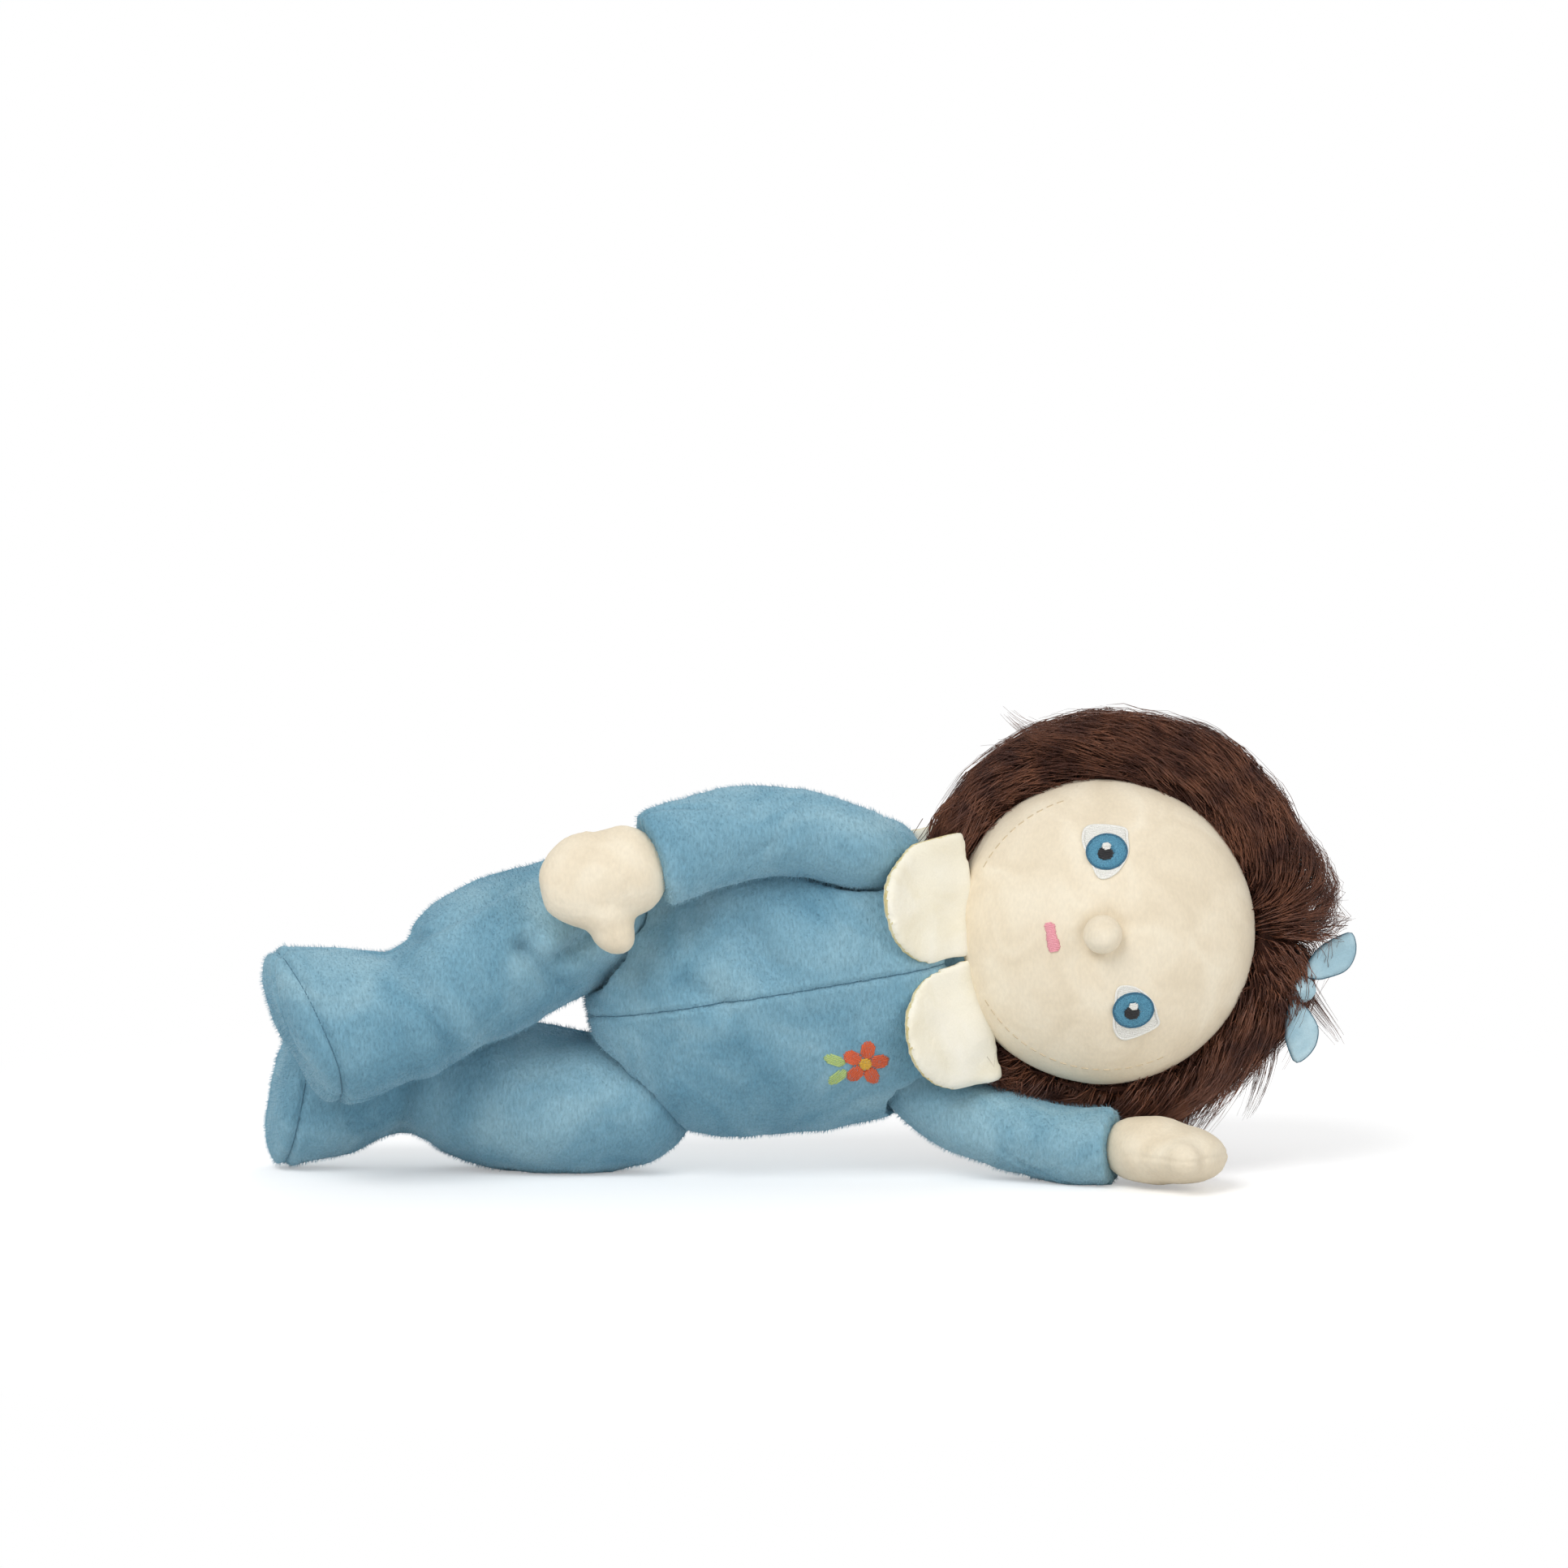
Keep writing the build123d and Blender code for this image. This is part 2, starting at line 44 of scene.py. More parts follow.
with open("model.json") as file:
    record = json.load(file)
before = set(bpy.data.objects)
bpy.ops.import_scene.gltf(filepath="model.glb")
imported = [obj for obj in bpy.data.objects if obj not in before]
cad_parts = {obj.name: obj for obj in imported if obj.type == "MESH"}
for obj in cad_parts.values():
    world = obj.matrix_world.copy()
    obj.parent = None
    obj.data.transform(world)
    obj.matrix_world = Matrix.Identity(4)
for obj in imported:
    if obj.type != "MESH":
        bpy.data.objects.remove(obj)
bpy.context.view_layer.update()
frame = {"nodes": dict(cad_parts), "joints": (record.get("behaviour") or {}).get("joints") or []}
JOINTS = {joint["name"]: joint for joint in frame["joints"]}
SIDES = ("right", "left")

# ---- frames ---------------------------------------------------------------
BODY_TILT = radians(9.0)
HEAD_TILT = radians(9.5)
FACE_LIFT = radians(5.5)
UP_BODY = Vector((cos(BODY_TILT), 0, sin(BODY_TILT)))
RIGHT_BODY = Vector((-sin(BODY_TILT), 0, cos(BODY_TILT)))
FRONT = Vector((0, -1, 0))
BACK = Vector((0, 1, 0))
FACE_OUT = Vector((0, -cos(FACE_LIFT), sin(FACE_LIFT)))
FACE_RIGHT = FACE_OUT.cross(Vector((cos(HEAD_TILT), 0, sin(HEAD_TILT)))).normalized()
FACE_UP = FACE_RIGHT.cross(FACE_OUT)


def middle(node):
    low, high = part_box(node)
    return (low + high) / 2


def pivot(joint):
    return Vector(JOINTS[joint]["pos_m"])


# ---- mesh helpers -----------------------------------------------------------
def new_piece(name, mesh):
    piece = bpy.data.objects.new(name, mesh)
    bpy.context.scene.collection.objects.link(piece)
    return piece


def applied(piece, *modifiers):
    """Adds modifiers, each a kind and its settings, and applies them."""
    for kind, settings in modifiers:
        modifier = piece.modifiers.new(kind, kind)
        for key, value in settings.items():
            setattr(modifier, key, value)
    graph = bpy.context.evaluated_depsgraph_get()
    mesh = bpy.data.meshes.new_from_object(piece.evaluated_get(graph))
    piece.modifiers.clear()
    piece.data = mesh
    for polygon in mesh.polygons:
        polygon.use_smooth = True
    return piece


def largest_shell(piece):
    """Drops the closed shells inside the outer one."""
    mesh = bmesh.new()
    mesh.from_mesh(piece.data)
    mesh.verts.ensure_lookup_table()
    unseen = set(mesh.verts)
    shells = []
    while unseen:
        stack = [unseen.pop()]
        shell = list(stack)
        while stack:
            for edge in stack.pop().link_edges:
                for vert in edge.verts:
                    if vert in unseen:
                        unseen.discard(vert)
                        stack.append(vert)
                        shell.append(vert)
        shells.append(shell)
    shells.sort(key=len)
    for shell in shells[:-1]:
        bmesh.ops.delete(mesh, geom=shell, context="VERTS")
    mesh.to_mesh(piece.data)
    mesh.free()


def padded_form(name, nodes, fillers=(), voxel=1.5, smooth=8, grow=0.3):
    """One closed skin round CAD nodes and filler balls, each a place and a radius or radii."""
    mesh = bmesh.new()
    for node in nodes:
        mesh.from_mesh(frame["nodes"][node].data)
    for place, radii, turn in fillers:
        matrix = Matrix.Translation(place) @ turn.to_4x4() @ Matrix.Diagonal((*[r * MM for r in radii], 1))
        bmesh.ops.create_icosphere(mesh, subdivisions=4, radius=1.0, matrix=matrix)
    data = bpy.data.meshes.new(name)
    mesh.to_mesh(data)
    mesh.free()
    piece = new_piece(name, data)
    applied(piece, ("REMESH", {"mode": "VOXEL", "voxel_size": voxel * MM}))
    largest_shell(piece)
    applied(piece, ("SMOOTH", {"factor": 0.5, "iterations": smooth}))
    push(piece, np.full(len(piece.data.vertices), grow * MM))
    return applied(piece, ("SUBSURF", {"levels": 1, "render_levels": 1}))


def points_of(piece):
    values = np.empty(len(piece.data.vertices) * 3)
    piece.data.vertices.foreach_get("co", values)
    return values.reshape(-1, 3)


def normals_of(piece):
    values = np.empty(len(piece.data.vertices) * 3)
    piece.data.vertex_normals.foreach_get("vector", values)
    return values.reshape(-1, 3)


def set_points(piece, points):
    piece.data.vertices.foreach_set("co", points.ravel())
    piece.data.update()


def push(piece, amounts):
    """Moves each vertex along its normal."""
    set_points(piece, points_of(piece) + normals_of(piece) * amounts[:, None])


def to_line(points, line):
    """Distance of each point from a line of straight runs."""
    nearest = np.full(len(points), 1e9)
    for start, end in zip(line, line[1:]):
        start, run = np.array(start), np.array(end) - np.array(start)
        share = np.clip(((points - start) @ run) / (run @ run), 0, 1)
        gap = np.linalg.norm(points - start - share[:, None] * run, axis=1)
        nearest = np.minimum(nearest, gap)
    return nearest


def to_plane(points, origin, way):
    return np.abs((points - np.array(origin)) @ np.array(way))


def groove(piece, distance, depth, width, where=1.0):
    """A sewn or folded groove where distance is 0, with the fabric puffed on both sides."""
    cut = np.exp(-((distance / (width * MM)) ** 2))
    puff = np.exp(-(((distance - 2.4 * width * MM) / (1.3 * width * MM)) ** 2))
    push(piece, (0.35 * puff - cut) * depth * MM * where)


def fold(piece, start, end, depth, width):
    """A short soft crease on the front of a piece, from start to end as the front shows them."""
    spots = points_of(piece)
    front = np.array(FRONT)
    flat = spots - ((spots - np.array(start)) @ front)[:, None] * front
    flat_end = Vector(end) - FRONT * (Vector(end) - Vector(start)).dot(FRONT)
    facing = np.clip(normals_of(piece) @ front, 0, 1)
    groove(piece, to_line(flat, [start, flat_end]), depth, width, facing)


def fold_at(piece, hub, start, end, depth, width):
    """A fold whose ends are given in mm along the body's length and height from a hub."""
    ends = [hub + Vector((along, 0, height)) * MM for along, height in (start, end)]
    fold(piece, *ends, depth, width)


def lumps(piece, size, height, seed):
    """Soft unevenness of that size and height."""
    shift = Vector((seed * 7.3, seed * 3.1, seed * 5.7))
    values = [noise.noise(Vector(p) / (size * MM) + shift) for p in points_of(piece)]
    push(piece, np.array(values) * height * MM)


def plane_loop(piece, origin, way, step=1.2):
    """The closed line where a plane cuts a piece, as points about a step apart."""
    spots = points_of(piece)
    heights = (spots - np.array(origin)) @ np.array(way)
    edges = np.empty(len(piece.data.edges) * 2, dtype=int)
    piece.data.edges.foreach_get("vertices", edges)
    start, end = edges.reshape(-1, 2).T
    cut = heights[start] * heights[end] < 0
    start, end = start[cut], end[cut]
    share = heights[start] / (heights[start] - heights[end])
    found = spots[start] + (spots[end] - spots[start]) * share[:, None]
    centre = found.mean(0)
    first = found[0] - centre
    first /= np.linalg.norm(first)
    second = np.cross(np.array(way), first)
    turns = np.arctan2((found - centre) @ second, (found - centre) @ first)
    found = found[np.argsort(turns)]
    line = [Vector(found[0])]
    for spot in found[1:]:
        if (Vector(spot) - line[-1]).length > step * MM:
            line.append(Vector(spot))
    return line


def seam_shade_tube(name, loop, radius=0.17, sink=0.0):
    """A thin tube laid along a closed loop of points on a seam; coloured darker than the cloth, it is painted shade in
    the seam's groove.
    """
    centre = sum(loop, Vector()) / len(loop)
    line = [(spot + (centre - spot).normalized() * sink * MM, radius * MM) for spot in loop + loop[:1]]
    return tubes(name, [line], sides=5)


def tree_of(*pieces):
    """Surfaces to lay stitches and hair on."""
    verts, faces = [], []
    for piece in pieces:
        start = len(verts)
        verts += [v.co.copy() for v in piece.data.vertices]
        faces += [[start + i for i in p.vertices] for p in piece.data.polygons]
    return BVHTree.FromPolygons(verts, faces)


def tubes(name, lines, sides=6):
    """Tapered tubes along lines. Each line is a list of (point, radius)."""
    verts, faces = [], []
    for line in lines:
        first = len(verts)
        last = len(line) - 1
        across = None
        for i, (point, radius) in enumerate(line):
            way = (line[min(i + 1, last)][0] - line[max(i - 1, 0)][0]).normalized()
            if across is None:
                across = way.orthogonal().normalized()
            across = (across - way * across.dot(way)).normalized()
            other = way.cross(across)
            for k in range(sides):
                turn = 2 * pi * k / sides
                verts.append(point + (across * cos(turn) + other * sin(turn)) * radius)
            if i:
                low = first + (i - 1) * sides
                for k in range(sides):
                    n = (k + 1) % sides
                    faces.append((low + k, low + n, low + sides + n, low + sides + k))
        faces.append(tuple(first + k for k in reversed(range(sides))))
        top = first + last * sides
        faces.append(tuple(top + k for k in range(sides)))
    mesh = bpy.data.meshes.new(name)
    mesh.from_pydata(verts, [], faces)
    mesh.polygons.foreach_set("use_smooth", [True] * len(mesh.polygons))
    mesh.update()
    return new_piece(name, mesh)


# ---- materials ----------------------------------------------------------------
def tone(red, green, blue):
    """A colour as it is seen, 0 to 255, in the shader's linear values."""
    values = [c / 255 for c in (red, green, blue)]
    return (*[v / 12.92 if v < 0.04045 else ((v + 0.055) / 1.055) ** 2.4 for v in values], 1.0)


def material(name):
    made = bpy.data.materials.new(name)
    made.use_nodes = True
    return made, made.node_tree.nodes, made.node_tree.links


def noise_node(nodes, links, coordinates, scale, detail=3.0, stretch=None, distortion=0.0):
    """A noise texture whose grain is 1 / scale metres, stretched if asked."""
    texture = nodes.new("ShaderNodeTexNoise")
    texture.inputs["Scale"].default_value = scale
    texture.inputs["Detail"].default_value = detail
    texture.inputs["Distortion"].default_value = distortion
    if stretch:
        mapping = nodes.new("ShaderNodeMapping")
        mapping.inputs["Scale"].default_value = stretch[:3]
        mapping.inputs["Rotation"].default_value = stretch[3:]
        links.new(coordinates, mapping.inputs["Vector"])
        coordinates = mapping.outputs["Vector"]
    links.new(coordinates, texture.inputs["Vector"])
    return texture.outputs["Fac"]


def ramp_node(nodes, links, value, stops):
    ramp = nodes.new("ShaderNodeValToRGB")
    while len(ramp.color_ramp.elements) < len(stops):
        ramp.color_ramp.elements.new(0.5)
    for element, (place, colour) in zip(ramp.color_ramp.elements, stops):
        element.position = place
        element.color = colour
    links.new(value, ramp.inputs["Fac"])
    return ramp.outputs["Color"]


def mixed(nodes, links, kind, factor, first, second):
    mix = nodes.new("ShaderNodeMix")
    mix.data_type = "RGBA"
    mix.blend_type = kind
    for socket, value in ((0, factor), (6, first), (7, second)):
        if isinstance(value, bpy.types.NodeSocket):
            links.new(value, mix.inputs[socket])
        else:
            mix.inputs[socket].default_value = value
    return mix.outputs[2]


def bumped(nodes, links, shader, height, distance, strength):
    bump = nodes.new("ShaderNodeBump")
    bump.inputs["Distance"].default_value = distance * MM
    bump.inputs["Strength"].default_value = strength
    links.new(height, bump.inputs["Height"])
    links.new(bump.outputs["Normal"], shader.inputs["Normal"])


def cloth(name, colours, patch, grain, sheen, tint, stretch=None, bump=(0.25, 0.6), contrast=0.25):
    """A pile or felt: colour patches of that size in mm, and a finer grain that also makes the bump."""
    made, nodes, links = material(name)
    shader = nodes["Principled BSDF"]
    place = nodes.new("ShaderNodeTexCoord").outputs["Object"]
    patches = noise_node(nodes, links, place, 1000 / patch, 4.0, distortion=0.8)
    colour = ramp_node(nodes, links, patches, list(zip((0.34, 0.5, 0.66), colours)))
    fine = noise_node(nodes, links, place, 1000 / grain, 6.0, stretch)
    shade = ramp_node(nodes, links, fine, [(0.3, (0.55, 0.55, 0.55, 1)), (0.7, (1.25, 1.25, 1.25, 1))])
    links.new(mixed(nodes, links, "MULTIPLY", contrast, colour, shade), shader.inputs["Base Color"])
    shader.inputs["Roughness"].default_value = 0.92
    shader.inputs["Specular IOR Level"].default_value = 0.15
    shader.inputs["Sheen Weight"].default_value = sheen
    shader.inputs["Sheen Roughness"].default_value = 0.45
    shader.inputs["Sheen Tint"].default_value = tint
    bumped(nodes, links, shader, fine, *bump)
    return made


def thread(name, colour, dark):
    """Shiny embroidery thread, with a twist along it."""
    made, nodes, links = material(name)
    shader = nodes["Principled BSDF"]
    place = nodes.new("ShaderNodeTexCoord").outputs["Object"]
    twist = noise_node(nodes, links, place, 4500, 2.0)
    links.new(ramp_node(nodes, links, twist, [(0.3, dark), (0.65, colour)]), shader.inputs["Base Color"])
    shader.inputs["Roughness"].default_value = 0.5
    shader.inputs["Sheen Weight"].default_value = 0.2
    bumped(nodes, links, shader, twist, 0.05, 0.4)
    return made


NAP = (1.0, 1.0, 0.35, 0.0, 0.5, 0.0)  # stretch and turn of the velour's grain
VELOUR = cloth(
    "velour", (tone(110, 157, 179), tone(130, 173, 192), tone(150, 188, 203)),
    26.0, 0.55, 0.4, tone(205, 226, 235), NAP, (0.35, 0.8), 0.38,
)
FELT = cloth(
    "felt", (tone(229, 215, 190), tone(236, 223, 199), tone(241, 230, 208)),
    14.0, 0.7, 0.15, tone(250, 245, 235), (1.0, 1.0, 0.5, 0.0, 0.3, 0.0), (0.12, 0.5), 0.10,
)
COLLAR = cloth(
    "collar_plush", (tone(241, 234, 212), tone(246, 241, 224), tone(249, 245, 232)),
    20.0, 0.5, 0.25, tone(255, 252, 242), None, (0.15, 0.5), 0.06,
)
COLLAR_EDGE = cloth(
    "collar_edge", (tone(214, 196, 138), tone(226, 211, 160), tone(236, 226, 188)),
    3.0, 0.35, 0.1, tone(250, 245, 235), None, (0.2, 0.6), 0.2,
)
BOW_CLOTH = cloth(
    "bow_cloth", (tone(156, 189, 203), tone(170, 201, 213), tone(184, 212, 222)),
    9.0, 0.4, 0.3, tone(222, 236, 242), None, (0.15, 0.6), 0.15,
)
SCALP = cloth(
    "scalp_fur", (tone(46, 27, 21), tone(64, 38, 30), tone(82, 50, 39)),
    4.0, 0.5, 0.1, tone(150, 105, 80), (1.0, 0.25, 1.0, 0.0, 0.0, 0.4), (0.4, 0.9), 0.5,
)


def fur(name, dark, light):
    """Glossy fibres whose colour changes from lock to lock and from fibre to fibre."""
    made, nodes, links = material(name)
    shader = nodes["Principled BSDF"]
    place = nodes.new("ShaderNodeTexCoord").outputs["Object"]
    locks = noise_node(nodes, links, place, 1000 / 6.0, 3.0)
    fibres = noise_node(nodes, links, place, 1000 / 0.5, 2.0)
    colour = ramp_node(nodes, links, locks, [(0.35, dark), (0.7, light)])
    shade = ramp_node(nodes, links, fibres, [(0.3, (0.55, 0.5, 0.5, 1)), (0.7, (1.3, 1.25, 1.2, 1))])
    links.new(mixed(nodes, links, "MULTIPLY", 0.6, colour, shade), shader.inputs["Base Color"])
    shader.inputs["Roughness"].default_value = 0.38
    shader.inputs["Specular IOR Level"].default_value = 0.45
    return made


HAIR = fur("hair_fibre", tone(84, 50, 39), tone(138, 90, 66))
WHITE_THREAD = thread("white_thread", tone(244, 243, 238), tone(222, 220, 212))
BLUE_THREAD = thread("blue_thread", tone(92, 160, 188), tone(44, 104, 134))
DARK_BLUE_THREAD = thread("dark_blue_thread", tone(48, 112, 142), tone(28, 78, 102))
BLACK_THREAD = thread("black_thread", tone(34, 34, 38), tone(12, 12, 14))
PINK_THREAD = thread("pink_thread", tone(246, 178, 188), tone(228, 142, 156))
ORANGE_THREAD = thread("orange_thread", tone(230, 108, 60), tone(200, 78, 40))
YELLOW_THREAD = thread("yellow_thread", tone(236, 190, 66), tone(206, 156, 40))
GREEN_THREAD = thread("green_thread", tone(196, 216, 140), tone(160, 184, 104))
CREAM_THREAD = thread("cream_thread", tone(222, 204, 172), tone(198, 178, 144))
# Painted shade: a darker blue for the thin tubes on the seams and round the bow's wings, standing in for the shade in
# their grooves and edges.
SEAM_SHADE = thread("painted_seam_shade", tone(84, 128, 148), tone(58, 98, 118))


def nap(piece, name, per_square, seed):
    """Short pile standing on a piece, leaning one way: a thin closed spike for each tuft."""
    random = Random(seed)
    verts, faces = [], []
    for polygon in piece.data.polygons:
        wanted = polygon.area / (MM * MM) * per_square
        for _ in range(int(wanted + random.random())):
            corners = [piece.data.vertices[i].co for i in polygon.vertices[:3]]
            a, b = sorted((random.random(), random.random()))
            root = corners[0] * a + corners[1] * (b - a) + corners[2] * (1 - b)
            lean = Vector((random.gauss(-0.45, 0.3), random.gauss(0, 0.3), random.gauss(-0.35, 0.3)))
            way = (polygon.normal * 0.9 + lean).normalized()
            side = way.orthogonal().normalized() * random.uniform(0.05, 0.09) * MM
            other = way.cross(side)
            tip = root + way * random.uniform(0.7, 1.35) * MM
            if tip.z < 0.0:
                tip.z = 0.0
            first = len(verts)
            root = root - polygon.normal * 0.15 * MM
            verts += [root + side, root - side * 0.5 + other * 0.87, root - side * 0.5 - other * 0.87, tip]
            faces += [(first, first + 1, first + 3), (first + 1, first + 2, first + 3)]
            faces += [(first + 2, first, first + 3), (first + 2, first + 1, first)]
    mesh = bpy.data.meshes.new(name)
    mesh.from_pydata(verts, [], faces)
    mesh.update()
    tufts = new_piece(name, mesh)
    tufts.data.materials.append(piece.data.materials[0])
    return tufts


PILE = 1.6  # tufts of velour per square millimetre


def finish_piece(piece, paint, body, nodes=()):
    """Paints a piece, hangs it on its body and hides the CAD nodes it stands for."""
    piece.data.materials.clear()
    piece.data.materials.append(paint)
    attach(piece, body)
    if nodes:
        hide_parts(*nodes)


# ---- stage ----------------------------------------------------------------------
def make_stage():
    """A pale floor that keeps the shadow near the doll and runs out to plain white."""
    reach = 3.0
    corners = [(-reach, -reach, 0), (reach, -reach, 0), (reach, reach, 0), (-reach, reach, 0)]
    floor_mesh = bpy.data.meshes.new("floor")
    floor_mesh.from_pydata(corners, [], [(0, 1, 2, 3)])
    floor = new_piece("floor", floor_mesh)
    made, nodes, links = material("floor_white")
    shader = nodes["Principled BSDF"]
    shader.inputs["Base Color"].default_value = (0.86, 0.86, 0.86, 1)
    shader.inputs["Roughness"].default_value = 0.9
    lift = nodes.new("ShaderNodeEmission")
    lift.inputs["Strength"].default_value = 0.34
    near = nodes.new("ShaderNodeAddShader")
    links.new(shader.outputs[0], near.inputs[0])
    links.new(lift.outputs[0], near.inputs[1])
    white = nodes.new("ShaderNodeEmission")
    path = nodes.new("ShaderNodeLightPath")
    place = nodes.new("ShaderNodeTexCoord").outputs["Object"]
    away = nodes.new("ShaderNodeVectorMath")
    away.operation = "LENGTH"
    links.new(place, away.inputs[0])
    fade = nodes.new("ShaderNodeMapRange")
    fade.interpolation_type = "SMOOTHSTEP"
    fade.inputs["From Min"].default_value = 0.16
    fade.inputs["From Max"].default_value = 0.30
    links.new(away.outputs["Value"], fade.inputs["Value"])
    far = nodes.new("ShaderNodeMixShader")
    links.new(fade.outputs["Result"], far.inputs[0])
    links.new(near.outputs[0], far.inputs[1])
    links.new(white.outputs[0], far.inputs[2])
    seen = nodes.new("ShaderNodeMixShader")
    links.new(path.outputs["Is Camera Ray"], seen.inputs[0])
    links.new(shader.outputs[0], seen.inputs[1])
    links.new(far.outputs[0], seen.inputs[2])
    links.new(seen.outputs[0], nodes["Material Output"].inputs["Surface"])
    floor.data.materials.append(made)


def make_world():
    world = bpy.data.worlds.new("studio")
    bpy.context.scene.world = world
    world.use_nodes = True
    nodes, links = world.node_tree.nodes, world.node_tree.links
    ambient = nodes["Background"]
    ambient.inputs["Color"].default_value = (1, 1, 1, 1)
    ambient.inputs["Strength"].default_value = 0.45
    white = nodes.new("ShaderNodeBackground")
    white.inputs["Color"].default_value = (1, 1, 1, 1)
    white.inputs["Strength"].default_value = 1.0
    path = nodes.new("ShaderNodeLightPath")
    mix = nodes.new("ShaderNodeMixShader")
    links.new(path.outputs["Is Camera Ray"], mix.inputs[0])
    links.new(ambient.outputs[0], mix.inputs[1])
    links.new(white.outputs[0], mix.inputs[2])
    links.new(mix.outputs[0], nodes["World Output"].inputs["Surface"])


def make_light(name, place, size, power):
    lamp = bpy.data.lights.new(name, "AREA")
    lamp.shape = "DISK"
    lamp.size = size
    lamp.energy = power
    light = bpy.data.objects.new(name, lamp)
    light.location = place
    light.rotation_euler = (TARGET - Vector(place)).to_track_quat("-Z", "Y").to_euler()
    bpy.context.scene.collection.objects.link(light)


def make_camera():
    lens, sensor = 110.0, 36.0
    distance = VIEW_WIDTH * lens / sensor
    camera = bpy.data.cameras.new("camera")
    camera.lens = lens
    camera.sensor_width = sensor
    eye = bpy.data.objects.new("camera", camera)
    back = Vector((0, -cos(VIEW_ELEVATION), sin(VIEW_ELEVATION)))
    eye.location = TARGET + back * distance
    eye.rotation_euler = (-back).to_track_quat("-Z", "Y").to_euler()
    bpy.context.scene.collection.objects.link(eye)
    bpy.context.scene.camera = eye


TARGET = pivot("neck_nod") + Vector((-40.9, 0, 42.5)) * MM
VIEW_WIDTH = 386.4 * MM
VIEW_ELEVATION = radians(5.0)
bpy.context.scene.view_settings.view_transform = "Standard"
make_camera()
make_stage()
make_world()
make_light("key", (-0.5, -0.9, 1.1), 0.9, 10.5)
make_light("fill", (0.9, -0.8, 0.5), 0.8, 3.5)
make_light("rim", (0.2, 0.9, 0.9), 0.8, 4.0)

# ---- romper: torso ----------------------------------------------------------
NO_TURN = Matrix.Identity(3)
TORSO_NODES = [f"torso_{face}_{side}" for face in ("front", "back") for side in SIDES]
torso = padded_form("romper_torso", TORSO_NODES + ["torso_stuffing"], voxel=1.5, smooth=4, grow=0.35)
lumps(torso, 17.0, 1.1, 1)
lumps(torso, 6.0, 0.3, 2)
SHOULDER = pivot("shoulder_right_raise")
HIP = pivot("hip_right_raise")
TORSO_FOLDS = (  # start, end, depth, width
    ((-32.9, -15.7), (-26.3, -25.6), 2.0, 3.4),
    ((-48.3, -29.9), (-38.4, -34.3), 1.5, 2.6),
)
for start, end, depth, width in TORSO_FOLDS:
    fold_at(torso, SHOULDER, start, end, depth, width)
torso_middle = middle("pellet_pouch")
spots = points_of(torso)
groove(torso, to_plane(spots, torso_middle, RIGHT_BODY), 0.7, 0.55)
lumps(torso, 1.3, 0.16, 3)
finish_piece(torso, VELOUR, "torso", TORSO_NODES + ["torso_stuffing", "pellet_pouch", "pellets"])
finish_piece(nap(torso, "nap_torso", PILE, 90), VELOUR, "torso")
# Painted shade along the centre-front seam: a thin dark tube lying in its groove.
torso_seam_shade = seam_shade_tube("seam_shade_torso", plane_loop(torso, torso_middle, RIGHT_BODY))
finish_piece(torso_seam_shade, SEAM_SHADE, "torso")

neck = padded_form("romper_neck", ["neck_tube", "neck_stuffing"], voxel=1.5, smooth=3, grow=0.1)
lumps(neck, 5.0, 0.5, 4)
finish_piece(neck, VELOUR, "neck", ["neck_tube", "neck_stuffing"])


# ---- romper: legs with their feet ---------------------------------------------
def sole_rim(side):
    """The points of the sole's sewn edge."""
    points = points_of(frame["nodes"][f"sole_{side}"])
    centre = points.mean(0)
    way = np.linalg.svd(points - centre, full_matrices=False)[2][2]
    if (points_of(frame["nodes"][f"foot_{side}_front"]).mean(0) - centre) @ way > 0:
        way = -way
    height = (points - centre) @ way
    rim = points[height < height.min() + 0.15 * MM]
    return np.unique(np.round(rim, 5), axis=0)


LEG_FOLDS = (
    ((-17.2, -5.0), (-9.0, -14.9), 3.2, 2.2),
    ((-8.4, -8.9), (-0.7, -2.8), 2.6, 2.0),
    ((-43.5, -3.9), (-11.7, 13.1), 1.2, 0.9),
)


